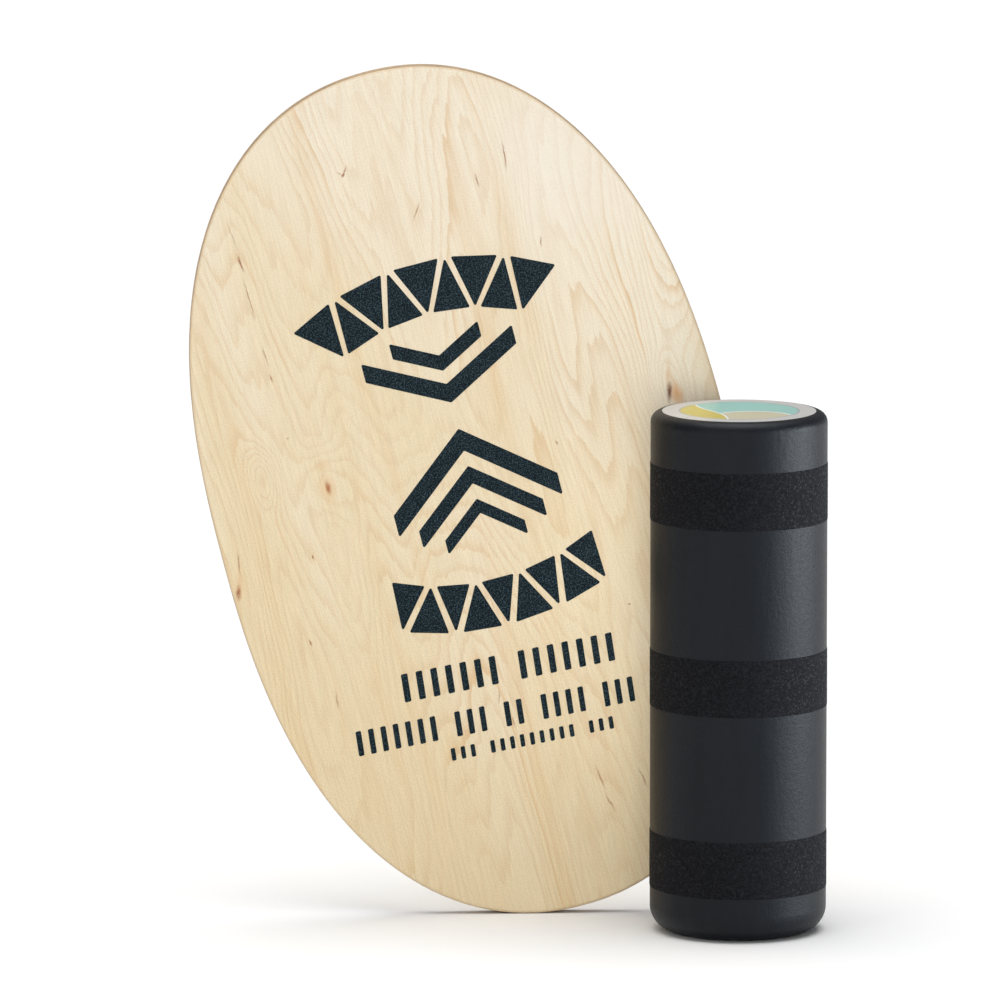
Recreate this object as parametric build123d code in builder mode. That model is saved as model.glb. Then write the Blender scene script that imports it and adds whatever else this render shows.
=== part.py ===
"""Balance board: an oval plywood deck standing on its curved end behind its hollow roller.

Millimetres, +Z up. The origin is the centre of the roller's base face. The roller stands on its end
along +Z, and the deck stands just behind it, with its printed face towards -Y, leaning in its own
plane so that its top is to the left (-X).
"""

import os
from math import copysign, cos, radians, sin

from build123d import *

# Deck: an oval |x / half width| ^ p + |y / half length| ^ q = 1, cut from birch plywood
deck_width = 457.2  # 18 in
deck_length = 762.0  # 30 in
width_exponent = 2.13
length_exponent = 2.465
oval_points = 48
ply_count = 13
ply_thickness = 1.4
deck_thickness = ply_count * ply_thickness
edge_round = 3.0

# Deck's place
deck_tilt = 14.5  # degrees, top towards -X
deck_centre_x = -225.8
deck_face_y = 79.0  # printed face, just clear of the roller's grip bands

# Roller: a closed plastic moulding with an even wall
roller_radius = 77.0
roller_length = 457.2  # 18 in
roller_wall = 8.0
top_round = 9.5
base_round = 22.0

# Grip bands: strips stuck round the roller, each with a butt seam facing the deck
band_width = 50.0
band_thickness = 0.5
band_seam = 1.0
band_centres = {"lower": 64.5, "middle": 224.5, "upper": 388.0}

# Top end: a round paper label over the plug of the moulding's vent hole
label_radius = 67.0
label_thickness = 0.2
plug_radius = 6.0
plug_head_radius = 9.0
plug_head_depth = 3.0

# Screen print on the deck's face
ink_thickness = 0.15
border_count = 9  # triangles in each border, pointing in and out by turns
border_gap = 1.4  # degrees between neighbouring triangles
corner_round = 1.2
bar_share = 0.45  # of each bar's pitch
bar_lean = 0.1  # of its height
row_slope = -0.06  # the rows of bars fall a little to the right across the deck


def oval_point(angle):
    """The point of the deck's oval at an angle in degrees: 0 at its right side, 90 at its top end."""
    across, along = cos(radians(angle)), sin(radians(angle))
    return (
        copysign(deck_width / 2 * abs(across) ** (2 / width_exponent), across),
        copysign(deck_length / 2 * abs(along) ** (2 / length_exponent), along),
    )


# The leaning deck's lowest point touches the floor. The oval is the same turned half round, so the
# drop below its centre is its reach along the leaning upward direction.
deck_centre_z = max(
    x * sin(radians(deck_tilt)) + y * cos(radians(deck_tilt))
    for x, y in (oval_point(step / 10) for step in range(901))
)

# The face plane: X across the deck, Y along it, Z out of the printed face
face_plane = Plane(
    origin=(deck_centre_x, deck_face_y, deck_centre_z),
    x_dir=(cos(radians(deck_tilt)), 0, sin(radians(deck_tilt))),
    z_dir=(0, -1, 0),
)


def save(part, name):
    """Label a finished piece and write it as its own STEP file."""
    part.label = name
    export_step(part, f"parts/{name}.step")


os.makedirs("parts", exist_ok=True)

# ---------------------------------------------------------------- deck plies
with BuildPart() as blank:
    with BuildSketch(face_plane):
        with BuildLine():
            Spline([oval_point(360 * step / oval_points) for step in range(oval_points)], periodic=True)
        make_face()
    extrude(amount=-deck_thickness)
    fillet(blank.faces().filter_by(Axis.Y).edges(), edge_round)

for number in range(1, ply_count + 1):
    with BuildPart() as ply:
        add(blank.part)
        if number > 1:
            split(bisect_by=face_plane.offset(-(number - 1) * ply_thickness), keep=Keep.BOTTOM)
        if number < ply_count:
            split(bisect_by=face_plane.offset(-number * ply_thickness), keep=Keep.TOP)
    save(ply.part, f"ply_{number:02d}")


# ---------------------------------------------------------------- deck print
def border(centre_y, radius, height, spread):
    """Triangles on an arc, every second one upside down. A negative radius bends its ends upward."""
    pitch = 2 * spread / border_count
    for step in range(border_count):
        middle = radians((step + 0.5) * pitch - spread)
        half = radians(pitch - border_gap)
        tip = height / 2 if step % 2 else -height / 2
        corners = [(middle, radius + tip), (middle - half, radius - tip), (middle + half, radius - tip)]
        Polygon([(r * sin(a), centre_y + r * cos(a)) for a, r in corners], align=None)


def chevron(apex_y, half_width, rise, thickness):
    """One V-shaped stripe, thickness below its apex. A negative rise and thickness turn it over."""
    upper = [(-half_width, apex_y - rise), (0, apex_y), (half_width, apex_y - rise)]
    lower = [(x, y - thickness) for x, y in reversed(upper)]
    Polygon(upper + lower, align=None)


def bar_row(start_x, base_y, height, pitch, groups):
    """A row of short leaning bars in groups, spaced like a line of words."""
    x = start_x
    for bars in groups:
        for _ in range(bars):
            y = base_y + row_slope * (x - start_x)
            foot = [(x, y), (x + bar_share * pitch, y)]
            head = [(foot_x + bar_lean * height, y + height) for foot_x, _ in reversed(foot)]
            Polygon(foot + head, align=None)
            x += pitch
        x += pitch


with BuildPart() as print_upper:
    with BuildSketch(face_plane) as upper_artwork:
        border(centre_y=-22, radius=208, height=46, spread=29)
        chevron(apex_y=82, half_width=68, rise=-36, thickness=-17)
        chevron(apex_y=111, half_width=40, rise=-21, thickness=-14)
        fillet(upper_artwork.vertices(), corner_round)
    extrude(amount=ink_thickness)
save(print_upper.part, "print_upper")

with BuildPart() as print_lower:
    with BuildSketch(face_plane) as lower_artwork:
        chevron(apex_y=58, half_width=74, rise=60, thickness=20)
        chevron(apex_y=24, half_width=56, rise=45, thickness=16)
        chevron(apex_y=-6, half_width=36, rise=29, thickness=13)
        border(centre_y=133, radius=-233, height=42, spread=24)
        fillet(lower_artwork.vertices(), corner_round)
    extrude(amount=ink_thickness)
save(print_lower.part, "print_lower")

with BuildPart() as print_bars:
    with BuildSketch(face_plane) as bar_artwork:
        bar_row(start_x=-106, base_y=-165, height=25, pitch=13, groups=(7, 7))
        bar_row(start_x=-157, base_y=-201, height=22, pitch=11, groups=(7, 3, 2, 4, 3))
        bar_row(start_x=-79, base_y=-226, height=11, pitch=8.8, groups=(3, 9, 3))
        fillet(bar_artwork.vertices(), corner_round)
    extrude(amount=ink_thickness)
save(print_bars.part, "print_bars")

# ---------------------------------------------------------------- roller
def half_section(inset, mode=Mode.ADD):
    """Half of the moulding's section outwards from its axis, all round smaller by the inset."""
    radius, base, top = roller_radius - inset, inset, roller_length - inset
    with BuildLine() as outline:
        FilletPolyline(
            (0, base),
            (radius, base),
            (radius, top),
            (0, top),
            radius=[base_round - inset, top_round - inset],
        )
        Line((0, top), (0, base))
    make_face(outline.edges(), mode=mode)


with BuildPart() as roller_shell:
    with BuildSketch(Plane.XZ):
        half_section(inset=0)
        half_section(inset=roller_wall, mode=Mode.SUBTRACT)
    revolve(axis=Axis.Z)
    with Locations((0, 0, roller_length)):
        CounterBoreHole(plug_radius, plug_head_radius, plug_head_depth, depth=roller_wall)
save(roller_shell.part, "roller_shell")

with BuildPart() as vent_plug:
    with Locations((0, 0, roller_length)):
        Cylinder(plug_head_radius, plug_head_depth, align=(Align.CENTER, Align.CENTER, Align.MAX))
        Cylinder(plug_radius, roller_wall, align=(Align.CENTER, Align.CENTER, Align.MAX))
save(vent_plug.part, "vent_plug")

with BuildPart() as end_label:
    with BuildSketch(Plane.XY.offset(roller_length)):
        Circle(label_radius)
    extrude(amount=label_thickness)
save(end_label.part, "end_label")

for place, centre_z in band_centres.items():
    with BuildPart() as grip_band:
        with BuildSketch(Plane.XY.offset(centre_z - band_width / 2)):
            Circle(roller_radius + band_thickness)
            Circle(roller_radius, mode=Mode.SUBTRACT)
            with Locations((0, roller_radius)):
                Rectangle(band_seam, roller_radius, mode=Mode.SUBTRACT)
        extrude(amount=band_width)
    save(grip_band.part, f"grip_band_{place}")
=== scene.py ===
from math import cos, pi, radians, sin

import bpy
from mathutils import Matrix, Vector, noise


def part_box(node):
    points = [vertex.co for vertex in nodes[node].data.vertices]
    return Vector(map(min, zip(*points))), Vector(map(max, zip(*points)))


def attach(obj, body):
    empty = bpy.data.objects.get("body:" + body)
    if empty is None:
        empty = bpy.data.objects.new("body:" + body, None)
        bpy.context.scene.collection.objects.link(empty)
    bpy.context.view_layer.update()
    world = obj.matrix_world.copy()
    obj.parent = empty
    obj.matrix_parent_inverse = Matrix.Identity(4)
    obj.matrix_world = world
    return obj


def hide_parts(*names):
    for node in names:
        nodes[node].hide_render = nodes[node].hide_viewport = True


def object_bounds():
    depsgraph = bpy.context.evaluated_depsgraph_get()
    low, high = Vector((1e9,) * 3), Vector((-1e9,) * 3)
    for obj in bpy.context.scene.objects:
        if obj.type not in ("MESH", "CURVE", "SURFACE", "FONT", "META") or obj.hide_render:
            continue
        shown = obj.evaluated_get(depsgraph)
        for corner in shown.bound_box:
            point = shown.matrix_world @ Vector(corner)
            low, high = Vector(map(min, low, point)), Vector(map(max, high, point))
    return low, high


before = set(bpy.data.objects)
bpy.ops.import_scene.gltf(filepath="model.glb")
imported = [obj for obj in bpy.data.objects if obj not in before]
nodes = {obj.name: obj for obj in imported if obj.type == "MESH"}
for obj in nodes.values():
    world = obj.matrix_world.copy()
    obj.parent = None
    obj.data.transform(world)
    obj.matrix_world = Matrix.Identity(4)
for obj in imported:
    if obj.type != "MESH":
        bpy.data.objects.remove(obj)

cad_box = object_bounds()

# ---------------------------------------------------------------- sizes, metres
DECK_TILT = radians(14.5)  # in the deck's own plane, top towards -X
PLY = 0.0014
FACE_LOW, FACE_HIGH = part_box("ply_01")
BACK_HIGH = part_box("ply_13")[1]
DECK_CENTRE = (FACE_LOW + FACE_HIGH) / 2
DECK_CENTRE.y = FACE_LOW.y
SHELL_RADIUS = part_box("roller_shell")[1].x
BANDS = ("grip_band_lower", "grip_band_middle", "grip_band_upper")
BAND_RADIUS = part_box("grip_band_lower")[1].x
BAND_SEAM = 0.001
GRIT_STEP = 0.0009  # between the vertices of a band
GRIT_RELIEF = 0.00024  # a grain's greatest height
GRIT_CELLS = 640.0  # grains per metre


# ---------------------------------------------------------------- node helpers
class Shader:
    """A material and short calls that add nodes to it. Each call gives back the new node's socket."""

    def __init__(self, name):
        self.material = bpy.data.materials.new(name)
        self.material.use_nodes = True
        self.tree = self.material.node_tree
        self.bsdf = self.tree.nodes["Principled BSDF"]

    def node(self, kind, inputs=(), output=0, **settings):
        made = self.tree.nodes.new("ShaderNode" + kind)
        for key, value in settings.items():
            setattr(made, key, value)
        for key, value in dict(inputs).items():
            self.put(made.inputs[key], value)
        return made.outputs[output]

    def put(self, socket, value):
        if isinstance(value, bpy.types.NodeSocket):
            self.tree.links.new(value, socket)
        elif socket.type == "RGBA" and len(value) == 3:
            socket.default_value = (*value, 1)
        else:
            socket.default_value = value

    def set(self, **inputs):
        for key, value in inputs.items():
            self.put(self.bsdf.inputs[key.replace("_", " ")], value)

    def position(self):
        return self.node("TexCoord", output="Object")

    def place(self, vector, **inputs):
        """The vector in another frame: its location is subtracted, and it is turned back and scaled down."""
        return self.node("Mapping", {"Vector": vector, **inputs}, vector_type="TEXTURE")

    def scaled(self, vector, scale):
        """The vector with each axis scaled, so that a texture has that many features per metre along it."""
        return self.node("Mapping", {"Vector": vector, "Scale": scale})

    def parts(self, vector):
        split = self.tree.nodes.new("ShaderNodeSeparateXYZ")
        self.put(split.inputs[0], vector)
        return split.outputs

    def joined(self, x, y, z):
        return self.node("CombineXYZ", {0: x, 1: y, 2: z})

    def math(self, operation, a, b=0.0, c=0.0):
        return self.node("Math", {0: a, 1: b, 2: c}, operation=operation)

    def noise(self, vector, scale, detail=2.0, roughness=0.5):
        inputs = {"Vector": vector, "Scale": scale, "Detail": detail, "Roughness": roughness}
        return self.node("TexNoise", inputs, output="Fac")

    def cells(self, vector, scale, output="Distance"):
        return self.node("TexVoronoi", {"Vector": vector, "Scale": scale}, output=output)

    def span(self, value, low, high, to_low=0.0, to_high=1.0, smooth=True):
        """The value mapped from low..high onto to_low..to_high, and held at the ends."""
        inputs = {"Value": value, "From Min": low, "From Max": high, "To Min": to_low, "To Max": to_high}
        return self.node("MapRange", inputs, interpolation_type="SMOOTHSTEP" if smooth else "LINEAR")

    def blend(self, factor, a, b, kind="MIX"):
        made = self.tree.nodes.new("ShaderNodeMix")
        made.data_type = "RGBA"
        made.blend_type = kind
        for index, value in ((0, factor), (6, a), (7, b)):
            self.put(made.inputs[index], value)
        return made.outputs[2]

    def bump(self, height, distance, strength=1.0):
        return self.node("Bump", {"Height": height, "Distance": distance, "Strength": strength})


# ---------------------------------------------------------------- wood
CREAM = (0.775, 0.635, 0.405)
# The light veneer tone, also the tone of the painted sheen towards the face's top and right
PALE_AND_SHEEN = (0.84, 0.745, 0.595)
RING = (0.655, 0.45, 0.235)
FLAME = (0.70, 0.43, 0.18)
BARK = (0.33, 0.115, 0.033)
EDGE_LONG = (0.64, 0.475, 0.29)
EDGE_CROSS = (0.50, 0.355, 0.215)
GLUE = (0.27, 0.17, 0.095)
LACQUER_GRIT = (760, 760, 760)  # features per metre
MINERAL_GRIT = (800, 800, 800)

# Marks on the face, in the deck's own frame: across, along, half width, half length, lean, strength
CHECKS = (
    (-0.148, 0.273, 0.001, 0.018, -0.1, 0.5),
    (-0.147, 0.248, 0.0016, 0.012, -0.1, 1.0),
    (-0.148, 0.217, 0.001, 0.026, 0.0, 0.8),
    (-0.147, 0.164, 0.001, 0.013, 0.0, 0.7),
    (-0.147, 0.143, 0.0013, 0.006, 0.0, 0.8),
    (0.099, 0.28, 0.0012, 0.017, 0.1, 0.9),
    (0.071, 0.266, 0.0012, 0.009, -0.1, 0.8),
    (0.013, 0.253, 0.0012, 0.011, 0.6, 0.7),
    (0.111, 0.199, 0.0012, 0.007, 0.1, 0.7),
    (-0.163, -0.148, 0.0013, 0.012, 0.1, 0.6),
    (-0.025, -0.181, 0.001, 0.01, 0.2, 0.6),
    (-0.018, -0.206, 0.0012, 0.008, -0.1, 0.7),
    (0.043, -0.274, 0.0012, 0.016, -0.1, 0.8),
    (0.046, -0.298, 0.0013, 0.014, -0.2, 0.7),
    (0.079, -0.284, 0.0013, 0.013, -0.2, 0.8),
    (-0.216, -0.008, 0.0012, 0.015, 0.2, 0.8),
    (-0.173, -0.092, 0.0013, 0.0045, -0.1, 1.0),
    (-0.151, -0.019, 0.0013, 0.003, 0.0, 1.0),
    (0.106, -0.131, 0.0017, 0.0013, 0.0, 1.0),
    (0.08, 0.024, 0.0014, 0.003, 0.0, 0.8),
    (-0.146, 0.088, 0.0012, 0.0012, 0.0, 0.9),
    (-0.041, 0.3, 0.0022, 0.0026, 0.5, 1.0),
    (-0.039, 0.303, 0.0013, 0.006, 0.5, 0.8),
    (-0.044, 0.302, 0.001, 0.003, -0.9, 0.8),
)
# The stains, and one patch of painted sheen in the last row, have their tone last
STAINS_AND_PAINTED_SHEEN = (
    (0.1925, 0.0385, 0.0085, 0.017, -0.05, 0.8, (0.7, 0.36, 0.12)),
    (0.1895, 0.056, 0.0035, 0.022, 0.2, 0.45, (0.7, 0.42, 0.2)),
    (0.1868, 0.042, 0.0036, 0.0125, 0.26, 1.0, (0.15, 0.045, 0.02)),
    (-0.1231, 0.036, 0.01, 0.0165, 0.05, 0.55, (0.74, 0.46, 0.22)),
    (-0.1235, 0.057, 0.0125, 0.0075, 0.0, 0.4, (0.7, 0.45, 0.22)),
    (-0.1231, 0.0366, 0.0034, 0.009, 0.0, 1.0, (0.38, 0.13, 0.035)),
    (-0.1752, 0.0615, 0.007, 0.0115, 0.2, 0.2, (0.66, 0.47, 0.27)),
    (-0.2195, -0.026, 0.005, 0.021, 0.18, 0.6, (0.72, 0.45, 0.22)),
    (-0.2222, -0.033, 0.0032, 0.0095, 0.18, 1.0, (0.36, 0.13, 0.045)),
    # Not a stain: a large light patch of painted sheen at the upper right, where the lacquer catches the
    # light
    (0.147, 0.262, 0.1, 0.135, 0.0, 0.55, (0.86, 0.8, 0.7)),
)
# Where the layers swell round a knot, the rings close round it: across, along, half width, half length
SWELLS = ((-0.1231, 0.04, 0.03, 0.052), (-0.1752, 0.06, 0.02, 0.042), (0.187, 0.044, 0.022, 0.05))


def deck_frame(s):
    """The deck's own frame: X across the face, Z along it, and Y into the board, from the face's centre."""
    return s.place(s.position(), Location=DECK_CENTRE, Rotation=(0, -DECK_TILT, 0))


def spot(s, across, along, x, z, width, length, lean=0.0):
    """1 at the centre of an oval mark on the face, fading to 0 at its rim."""
    dx = s.math("SUBTRACT", across, x)
    dz = s.math("SUBTRACT", along, z)
    if lean:
        dx = s.math("MULTIPLY_ADD", dz, -lean, dx)
    flat = s.joined(s.math("DIVIDE", dx, width), s.math("DIVIDE", dz, length), 0.0)
    far = s.node("VectorMath", {0: flat}, operation="LENGTH", output=1)
    return s.span(far, 1.0, 0.0)


def growth(s, across, along, flat, flipped):
    """The sheet's height in growth rings. Rotary cutting follows wavy rings, so they lie as contour lines."""
    rings, swelling = 60.0, 4.0
    other_sheet = 4.0 if flipped else 0.0
    sway = s.noise(s.scaled(flat, (10, 1, 6)), 1.0, 2.0, 0.5)
    bent = s.joined(s.math("MULTIPLY_ADD", sway, 0.022, across), other_sheet, along)
    hills = s.noise(s.scaled(bent, (7.0, 1, 1.15)), 1.0, 2.0, 0.40)
    feather = s.noise(s.scaled(flat, (150, 1, 15)), 1.0, 2.0, 0.55)
    height = s.math("MULTIPLY_ADD", hills, rings, s.math("MULTIPLY", feather, 0.95))
    if not flipped:
        for x, z, width, length in SWELLS:
            knot = spot(s, across, along, x, z, width, length)
            height = s.math("MULTIPLY_ADD", knot, swelling, height)
    return height


def wood_face(name, flipped):
    """Pale rotary-cut birch under a clear lacquer with a fine grit in it."""
    s = Shader(name)
    p = deck_frame(s)
    across, depth, along = s.parts(p)
    if flipped:
        across = s.math("MULTIPLY", across, -1.0)
    flat = s.joined(across, 0.0, along)

    # Each ring darkens towards its late wood, has its own strength, and fades in and out
    height = growth(s, across, along, flat, flipped)
    saw = s.math("FRACT", height)
    own = s.node("TexWhiteNoise", {"W": s.math("FLOOR", height)}, noise_dimensions="1D")
    strong = s.math("POWER", own, 3.5)
    late = s.math("MULTIPLY", s.span(saw, 0.5, 0.93), s.span(saw, 1.0, 0.94))
    fades = s.span(s.noise(s.scaled(flat, (13, 1, 4)), 1.0, 2.0), 0.3, 0.66)
    thin = s.math("MULTIPLY", late, s.math("MULTIPLY_ADD", strong, 0.25, 0.30))
    wide = s.math("MULTIPLY", s.span(saw, 0.1, 0.9), s.span(saw, 1.0, 0.94))
    flame = s.math("MULTIPLY", s.math("MULTIPLY", wide, strong), s.span(fades, 0.3, 1.0))

    # Veneer tones, fibres and the lacquer's grit, and a painted sheen that lightens the sheet towards its top
    # and its right
    broad = s.noise(s.scaled(flat, (8, 1, 2.2)), 1.0, 3.0, 0.6)
    # Painted sheen: the face grows lighter along the sheet (towards the top) and across it (towards the
    # right), where the lacquer's sheen falls; the broad noise is the veneer's own tone
    pale_tone_and_painted_sheen = s.math("ADD", s.math("MULTIPLY_ADD", along, 0.75, broad), s.math("MULTIPLY", across, 0.30))
    fibre = s.noise(s.scaled(flat, (620, 1, 26)), 1.0, 3.0, 0.6)
    grit = s.noise(s.scaled(p, LACQUER_GRIT), 1.0, 2.0, 0.6)
    band = s.noise(s.scaled(flat, (38, 1, 2.6)), 1.0, 3.0, 0.55)
    colour = s.blend(s.span(pale_tone_and_painted_sheen, 0.30, 0.86), CREAM, PALE_AND_SHEEN)
    colour = s.blend(s.math("MULTIPLY", s.span(band, 0.48, 0.78), 0.30), colour, FLAME)
    colour = s.blend(s.math("MULTIPLY", s.span(saw, 0.1, 0.9), 0.04), colour, FLAME)
    colour = s.blend(s.math("MULTIPLY", thin, s.math("MULTIPLY_ADD", fades, 0.6, 0.4)), colour, RING)
    colour = s.blend(s.math("MULTIPLY", flame, 0.62), colour, FLAME)
    for value, dark, light in ((fibre, (0.95, 0.945, 0.93), (1.04, 1.045, 1.05)),
                               (grit, (0.91, 0.91, 0.91), (1.08, 1.08, 1.08))):
        colour = s.blend(1.0, colour, s.blend(s.span(value, 0.28, 0.72), dark, light), "MULTIPLY")
    if not flipped:
        colour = face_marks(s, across, along, colour)

    # Inside the round-over the sheet is cut across its layers
    first, deepest = 0.00004, 0.0005
    rim = s.span(s.math("SUBTRACT", depth, first), 0.0, deepest)
    if flipped:
        back = BACK_HIGH.y - DECK_CENTRE.y
        rim = s.span(depth, back, back - deepest)
    colour = s.blend(s.math("MULTIPLY", rim, 0.6), colour, EDGE_LONG)

    sparkle = s.math("MULTIPLY", s.span(grit, 0.5, 0.72), s.span(along, -0.35, 0.35, 0.7, 1.25))
    s.set(Base_Color=colour, Roughness=s.math("MULTIPLY_ADD", sparkle, -0.28, 0.52))
    s.set(Normal=s.bump(s.math("MULTIPLY_ADD", fibre, 0.35, sparkle), 0.00024, 0.70))
    s.bsdf.inputs["Specular IOR Level"].default_value = 0.45
    return s.material


def face_marks(s, across, along, colour):
    """The marks in this sheet: stained knots, bark checks and pin specks, and one lighter patch of painted
    sheen, all ragged.
    """
    ragged = s.noise(s.scaled(s.joined(across, 0.0, along), (420, 1, 150)), 1.0, 3.0, 0.6)
    ragged = s.span(ragged, 0.22, 0.50, 0.55, 1.0)
    wobble = s.noise(s.scaled(s.joined(across, 0.0, along), (90, 1, 70)), 1.0, 3.0, 0.6)
    across = s.math("ADD", across, s.math("MULTIPLY_ADD", wobble, 0.005, -0.0025))
    for x, z, width, length, lean, strength, tone in STAINS_AND_PAINTED_SHEEN:
        mask = s.math("MULTIPLY", spot(s, across, along, x, z, width, length, lean), ragged)
        colour = s.blend(s.math("MULTIPLY", mask, strength), colour, tone)
    for x, z, width, length, lean, strength in CHECKS:
        mask = s.math("MULTIPLY", spot(s, across, along, x, z, width, length, lean), ragged)
        colour = s.blend(s.math("MULTIPLY", mask, strength), colour, BARK)
    return colour


def wood_edge(name, tone, first, cross):
    """The sawn edge of one ply, long grain or end grain, between two dark glue lines. first is its depth."""
    s = Shader(name)
    p = deck_frame(s)
    _, depth, _ = s.parts(p)
    scale = (700, 1400, 700) if cross else (240, 2200, 240)
    grain = s.noise(s.scaled(p, scale), 1.0, 3.0, 0.65)
    slow = s.noise(s.scaled(p, (22, 22, 22)), 1.0, 3.0, 0.6)
    dark = tuple(0.62 * c for c in tone)
    light = tuple(min(1.0, 1.22 * c) for c in tone)
    colour = s.blend(s.span(grain, 0.3, 0.7), dark, light)
    colour = s.blend(1.0, colour, s.blend(s.span(slow, 0.3, 0.7), (0.84, 0.82, 0.80), (1.08, 1.07, 1.06)),
                     "MULTIPLY")
    local = s.math("SUBTRACT", depth, first)
    inside = s.math("MINIMUM", local, s.math("SUBTRACT", PLY, local))
    colour = s.blend(s.span(inside, 0.00016, 0.00004, 0.0, 0.8), colour, GLUE)
    s.set(Base_Color=colour, Roughness=s.span(grain, 0.2, 0.8, 0.62, 0.46))
    s.set(Normal=s.bump(grain, 0.00015, 0.6))
    s.bsdf.inputs["Specular IOR Level"].default_value = 0.4
    return s.material


def ink():
    """Thick blue-black screen ink over the grit of the lacquer."""
    s = Shader("screen_ink")
    p = s.position()
    grit = s.noise(s.scaled(p, LACQUER_GRIT), 1.0, 2.0, 0.7)
    worn = s.noise(s.scaled(p, (90, 90, 90)), 1.0, 3.0, 0.6)
    colour = s.blend(s.span(grit, 0.46, 0.64), (0.0010, 0.0060, 0.0100), (0.036, 0.062, 0.074))
    colour = s.blend(1.0, colour, s.blend(s.span(worn, 0.3, 0.7), (0.8, 0.82, 0.84), (1.2, 1.18, 1.16)),
                     "MULTIPLY")
    s.set(Base_Color=colour, Roughness=s.span(grit, 0.3, 0.75, 0.62, 0.38))
    s.set(Normal=s.bump(grit, 0.00022, 0.8))
    s.bsdf.inputs["Specular IOR Level"].default_value = 0.08
    return s.material


# ---------------------------------------------------------------- roller materials
def roller_plastic():
    """Satin black polyethylene with the fine even skin of a moulding, lightly rubbed."""
    s = Shader("roller_plastic")
    p = s.position()
    skin = s.noise(s.scaled(p, (240, 240, 240)), 1.0, 4.0, 0.8)
    flow = s.noise(s.scaled(p, (60, 60, 9)), 1.0, 3.0, 0.55)
    rub = s.noise(s.scaled(p, (30, 30, 260)), 1.0, 3.0, 0.7)
    colour = s.blend(s.span(flow, 0.3, 0.7), (0.0010, 0.0018, 0.0040), (0.0026, 0.0035, 0.0064))
    rough = s.math("MULTIPLY_ADD", s.span(rub, 0.55, 0.8), -0.05, 0.38)
    s.set(Base_Color=colour, Roughness=s.math("MULTIPLY_ADD", skin, 0.12, rough))
    s.set(Normal=s.bump(s.math("MULTIPLY_ADD", flow, 0.8, skin), 0.00040, 1.0))
    s.bsdf.inputs["Specular Tint"].default_value = (0.90, 0.96, 1.0, 1.0)
    s.bsdf.inputs["Specular IOR Level"].default_value = 0.25
    return s.material


def grip_grit():
    """Black mineral grit on the bands: matt grains, a few of which catch the light."""
    s = Shader("grip_grit")
    p = s.position()
    grain = s.cells(s.scaled(p, MINERAL_GRIT), 1.0)
    fine = s.noise(s.scaled(p, (1700, 1700, 1700)), 1.0, 2.0, 0.6)
    facet = s.parts(s.cells(s.scaled(p, MINERAL_GRIT), 1.0, output="Color"))[0]
    colour = s.blend(facet, (0.0027, 0.0028, 0.0039), (0.0104, 0.0112, 0.0146))
    s.set(Base_Color=colour, Roughness=s.span(facet, 0.75, 1.0, 0.78, 0.45))
    s.set(Normal=s.bump(s.math("MULTIPLY_ADD", fine, 0.5, s.math("SUBTRACT", 1.0, grain)), 0.0003, 0.7))
    s.bsdf.inputs["Specular IOR Level"].default_value = 0.12
    return s.material


def label_print():
    """A round laminated label: a pale border round three plain colour fields parted by thin white lines."""
    s = Shader("label_print")
    x, y, _ = s.parts(s.position())
    far = s.math("SQRT", s.math("ADD", s.math("POWER", x, 2.0), s.math("POWER", y, 2.0)))
    teal_field, tan_field, gold_field = (0.31, 0.56, 0.50), (0.56, 0.525, 0.365), (0.555, 0.465, 0.098)
    white, paper, grey = (0.80, 0.82, 0.83), (0.55, 0.54, 0.52), (0.30, 0.33, 0.36)
    fields_radius, tan_radius = 0.0512, 0.036

    # How far a point is inside the round tan field, and beyond the gold field's wavy side
    from_tan = s.joined(s.math("SUBTRACT", x, 0.009), s.math("ADD", y, 0.040), 0.0)
    in_tan = s.math("SUBTRACT", tan_radius, s.node("VectorMath", {0: from_tan}, operation="LENGTH", output=1))
    wave = s.math("MULTIPLY", s.math("SINE", s.math("MULTIPLY", y, 70.0)), 0.003)
    in_gold = s.math("SUBTRACT", s.math("MULTIPLY_ADD", y, -0.25, -0.0245), s.math("ADD", x, wave))

    colour = teal_field
    line_edges = ((in_tan, tan_field, 0.0014, 0.0008), (in_gold, gold_field, 0.0011, 0.0006))
    for inside, field, outer, core in line_edges:
        colour = s.blend(s.span(inside, -0.0002, 0.0002), colour, field)
        colour = s.blend(s.span(s.math("ABSOLUTE", inside), outer, core), colour, white)
    colour = s.blend(s.span(far, fields_radius, fields_radius + 0.0006), colour, paper)
    rule = s.math("ABSOLUTE", s.math("SUBTRACT", far, fields_radius + 0.0008))
    colour = s.blend(s.span(rule, 0.0008, 0.0004), colour, grey)
    print_grain = s.noise(s.scaled(s.position(), (700, 700, 700)), 1.0, 2.0)
    colour = s.blend(1.0, colour, s.blend(print_grain, (0.93, 0.93, 0.93), (1.05, 1.05, 1.05)), "MULTIPLY")
    ripple = s.noise(s.scaled(s.position(), (60, 60, 60)), 1.0, 2.0)
    s.set(Base_Color=colour, Roughness=s.span(ripple, 0.3, 0.7, 0.30, 0.38))
    s.set(Normal=s.bump(ripple, 0.0002, 0.3))
    return s.material


# ---------------------------------------------------------------- meshes
def mesh_piece(name, vertices, faces, material, body, replaced):
    """A smooth mesh that takes a CAD node's place, on its body and in its material slot."""
    mesh = bpy.data.meshes.new(name)
    mesh.from_pydata(vertices, [], faces)
    mesh.polygons.foreach_set("use_smooth", [True] * len(mesh.polygons))
    mesh.materials.append(material)
    mesh.update()
    piece = bpy.data.objects.new(name, mesh)
    bpy.context.scene.collection.objects.link(piece)
    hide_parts(replaced)
    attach(piece, body)
    return piece


def grit_height(point):
    """From 0 to 1: grains about a millimetre and a half across, each with its own height."""
    slope, shuffle = 1.5, 7.3
    distances, centres = noise.voronoi(point * GRIT_CELLS)
    grain = max(0.0, 1.0 - distances[0] * slope)
    own = 0.5 + 0.5 * noise.noise(centres[0] * shuffle)
    return grain * own


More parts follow.
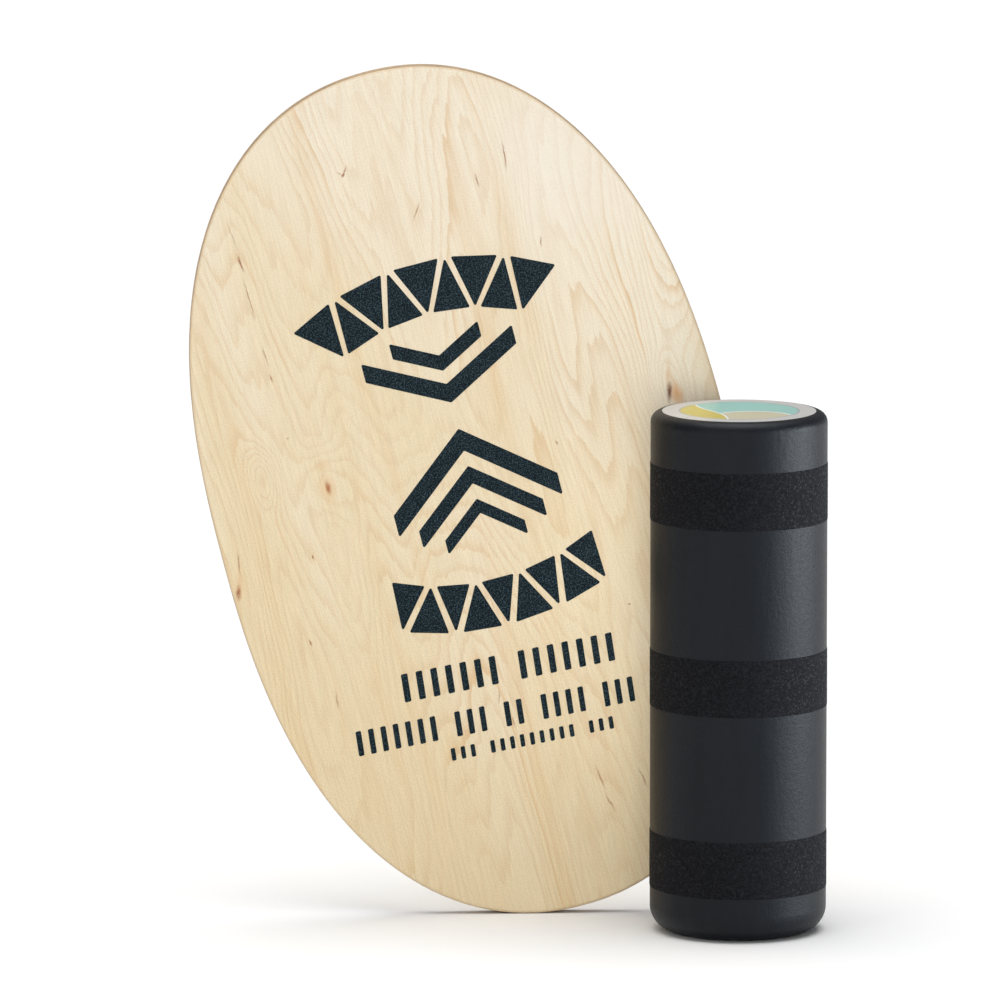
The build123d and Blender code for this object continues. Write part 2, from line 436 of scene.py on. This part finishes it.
def grip_band(node, material):
    """A strip of coarse grip material round the shell, with eased rims and a butt seam at the back.

    Its outermost rows and columns go down to the shell, so that it has no open edge to look under.
    """
    low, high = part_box(node)
    height, thickness = high.z - low.z, BAND_RADIUS - SHELL_RADIUS
    rows, columns = round(height / GRIT_STEP), round(2 * pi * SHELL_RADIUS / GRIT_STEP)
    half_seam = BAND_SEAM / 2 / SHELL_RADIUS
    rim_drop = 1.6  # the eased rims lie lower than the rest, in grain heights below the CAD surface
    vertices, faces = [], []
    for column in range(columns + 1):
        turn = half_seam + (2 * pi - 2 * half_seam) * column / columns
        out = Vector((sin(turn), cos(turn), 0))
        at_seam = column in (0, columns)
        for row in range(-1, rows + 2):
            z = low.z + height * min(max(row, 0), rows) / rows
            buried = at_seam or row in (-1, rows + 1)
            near_rim = min(row, rows - row, column, columns - column) < 1
            top = thickness - GRIT_RELIEF * (rim_drop if near_rim else 1.0)
            reach = SHELL_RADIUS + (0.0 if buried else top)
            point = out * reach + Vector((0, 0, z))
            if not buried:
                point += out * GRIT_RELIEF * grit_height(point)
            vertices.append(point)
    ring = rows + 3
    for column in range(columns):
        for row in range(ring - 1):
            a = column * ring + row
            faces.append((a, a + 1, a + ring + 1, a + ring))
    return mesh_piece(node + "_grit", vertices, faces, material, "roller", node)


# ---------------------------------------------------------------- stage
def floor():
    """A plain pale floor, wide enough to fill every view."""
    reach = 30.0
    corners = [(-reach, -reach, 0), (reach, -reach, 0), (reach, reach, 0), (-reach, reach, 0)]
    mesh = bpy.data.meshes.new("floor")
    mesh.from_pydata(corners, [], [(0, 1, 2, 3)])
    ground = bpy.data.objects.new("floor", mesh)
    bpy.context.scene.collection.objects.link(ground)
    s = Shader("floor")
    s.set(Base_Color=(0.93, 0.93, 0.93), Roughness=0.9)
    s.bsdf.inputs["Specular IOR Level"].default_value = 0.0
    mesh.materials.append(s.material)


def softbox(name, azimuth, elevation, distance, size, radiance, target, tint=(1, 1, 1)):
    """A rectangular softbox that faces the target. Azimuth 0 is on the -Y side, 90 on the +X side."""
    light = bpy.data.lights.new(name, "AREA")
    light.shape = "RECTANGLE"
    light.size, light.size_y = size
    light.energy = radiance * pi * size[0] * size[1]
    light.color = tint
    holder = bpy.data.objects.new(name, light)
    bpy.context.scene.collection.objects.link(holder)
    azimuth, elevation = radians(azimuth), radians(elevation)
    away = Vector((sin(azimuth) * cos(elevation), -cos(azimuth) * cos(elevation), sin(elevation)))
    holder.location = target + away * distance
    holder.rotation_euler = away.to_track_quat("Z", "Y").to_euler()
    holder.visible_camera = False
    return holder


def flagged(light, pieces):
    """Keep a lamp off everything but these pieces, as a flag on a stand does."""
    lit = bpy.data.collections.new(light.name + "_lit")
    for piece in pieces:
        lit.objects.link(piece)
    light.light_linking.receiver_collection = lit


def lights(deck_pieces, roller_pieces):
    """An even wash from above, and softboxes. Four of them are flagged to the deck or to the roller."""
    cool, face_y = (0.97, 0.99, 1.0), DECK_CENTRE.y
    wash = bpy.data.lights.new("wash", "SUN")
    wash.energy = 2.75
    wash.angle = radians(60)
    above = bpy.data.objects.new("wash", wash)
    above.rotation_euler = (radians(0.5), 0, 0)
    bpy.context.scene.collection.objects.link(above)
    softbox("fill", -42, 20, 3.0, (0.8, 1.6), 1.9, Vector((0.0, 0.0, 0.3)), cool)
    softbox("front", -4, 14, 4.0, (2.0, 1.2), 2.0, Vector((-0.15, 0.0, 0.4)))
    side = softbox("side", 78, 4, 2.2, (1.9, 1.0), 12.0, Vector((0.0, 0.0, 0.22)), (0.92, 0.97, 1.0))
    flagged(side, roller_pieces)
    sheen = softbox("sheen", 4, -8, 1.1, (0.4, 0.4), 3.6, Vector((-0.12, face_y, 0.66)))
    key = softbox("key", -45, 16, 3.0, (0.8, 1.6), 1.0, Vector((-0.1, 0.0, 0.35)), cool)
    kicker = softbox("kicker", 0, 0, 0.12, (0.04, 0.34), 1.5, Vector((-0.092, face_y, 0.27)))
    for lamp in (sheen, key, kicker):
        flagged(lamp, deck_pieces)
    world = bpy.data.worlds.new("studio")
    world.use_nodes = True
    sky = world.node_tree.nodes["Background"].inputs
    sky["Color"].default_value = (1, 1, 1, 1)
    sky["Strength"].default_value = 0.24
    bpy.context.scene.world = world


def camera():
    """A long lens a little above the board and slightly to its left."""
    azimuth, elevation, distance, frame_width = radians(-3.0), radians(8.8), 11.0, 0.8685
    low, high = cad_box
    off_centre = Vector((-0.0092, -0.0099, 0.0051))
    aim = (low + high) / 2 + off_centre
    data = bpy.data.cameras.new("camera")
    data.sensor_width = 36.0
    data.lens = data.sensor_width * distance / frame_width
    data.clip_end = 100.0
    view = bpy.data.objects.new("camera", data)
    bpy.context.scene.collection.objects.link(view)
    away = Vector((sin(azimuth) * cos(elevation), -cos(azimuth) * cos(elevation), sin(elevation)))
    view.location = aim + away * distance
    view.rotation_euler = away.to_track_quat("Z", "Y").to_euler()
    bpy.context.scene.camera = view


def dress(node, material):
    """Give a CAD node that stays its material."""
    for slot in nodes[node].material_slots:
        slot.material = material


camera()
floor()

dress("ply_01", wood_face("birch_face", False))
dress("ply_13", wood_face("birch_back", True))
for number in range(2, 13):
    cross = number % 2 == 0
    first = (number - 1) * PLY
    tone = EDGE_CROSS if cross else EDGE_LONG
    dress(f"ply_{number:02d}", wood_edge(f"birch_edge_{number:02d}", tone, first, cross))

print_ink = ink()
for node in ("print_upper", "print_lower", "print_bars"):
    dress(node, print_ink)

plastic = roller_plastic()
dress("roller_shell", plastic)
dress("vent_plug", plastic)
dress("end_label", label_print())
grit = grip_grit()
bands = [grip_band(node, grit) for node in BANDS]

# The side lamp would only glare on the label, so the label isn't one of its pieces
deck_pieces = [piece for name, piece in nodes.items() if name.startswith(("ply", "print"))]
lights(deck_pieces, bands + [nodes["roller_shell"], nodes["vent_plug"]])

bpy.context.scene.view_settings.view_transform = "Standard"
